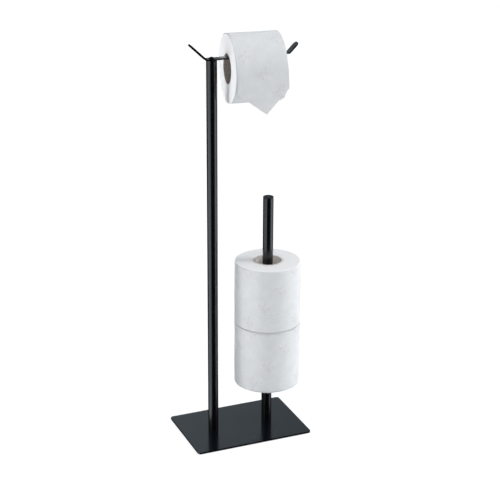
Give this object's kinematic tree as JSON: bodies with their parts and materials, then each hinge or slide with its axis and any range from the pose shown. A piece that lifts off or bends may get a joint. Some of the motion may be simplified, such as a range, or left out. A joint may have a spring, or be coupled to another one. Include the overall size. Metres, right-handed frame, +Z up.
{
  "type": "toilet paper holder",
  "caption": "Free-standing toilet paper holder with a flat base, a tall post with a bent bar for the roll in use, and a short post for spare rolls.",
  "frame": {"origin": "on the floor, under the middle of the base plate", "axes": "+Z up; +X along the plate's long side, from the tall post to the short one; the loose end of the paper hangs on the -Y side"},
  "size_m": [0.192, 0.13, 0.6333],
  "materials": {
    "black_plate": "satin",
    "black_steel": "satin",
    "screw_steel": "satin",
    "plain_steel": "satin",
    "cap_plastic": "satin",
    "foot_rubber": "matte",
    "tissue": "matte",
    "cardboard": "matte"
  },
  "bodies": {
    "stand": {"base_plate": "black_plate", "base_feet": "foot_rubber", "main_post": "black_steel", "main_post_foot_plug": "plain_steel", "main_post_head_plug": "plain_steel", "main_post_screw": "screw_steel", "spare_post": "black_steel", "spare_post_foot_plug": "plain_steel", "spare_post_screw": "screw_steel", "spare_post_cap": "cap_plastic", "roll_rest": "black_steel", "rest_grub_screw": "screw_steel", "roll_bar": "black_steel", "roll_bar_screw": "screw_steel"},
    "hanging_roll": {"hanging_roll_paper": "tissue", "hanging_roll_core": "cardboard"},
    "hanging_sheet": {"loose_sheet": "tissue"},
    "lower_roll": {"lower_roll_paper": "tissue", "lower_roll_core": "cardboard"},
    "upper_roll": {"upper_roll_paper": "tissue", "upper_roll_core": "cardboard"}
  },
  "joints": [
    {"name": "roll_turn", "type": "hinge", "parent": "stand", "child": "hanging_roll", "pos_m": [0.01875, 0, 0.58236], "axis": [0.9925, -0.1219, 0], "range_deg": [0, 240]},
    {"name": "sheet_pull", "type": "slide", "parent": "stand", "child": "hanging_sheet", "axis": [0, 0, -1], "range_m": [0, 0.21364]},
    {"name": "lower_roll_lift", "type": "slide", "parent": "stand", "child": "lower_roll", "axis": [0, 0, 1], "range_m": [0, 0.035]},
    {"name": "upper_roll_lift", "type": "slide", "parent": "lower_roll", "child": "upper_roll", "axis": [0, 0, 1], "range_m": [0, 0.21]}
  ],
  "couplings": [
    {"joint": "sheet_pull", "follows": "roll_turn", "m_per_rad": 0.051}
  ]
}
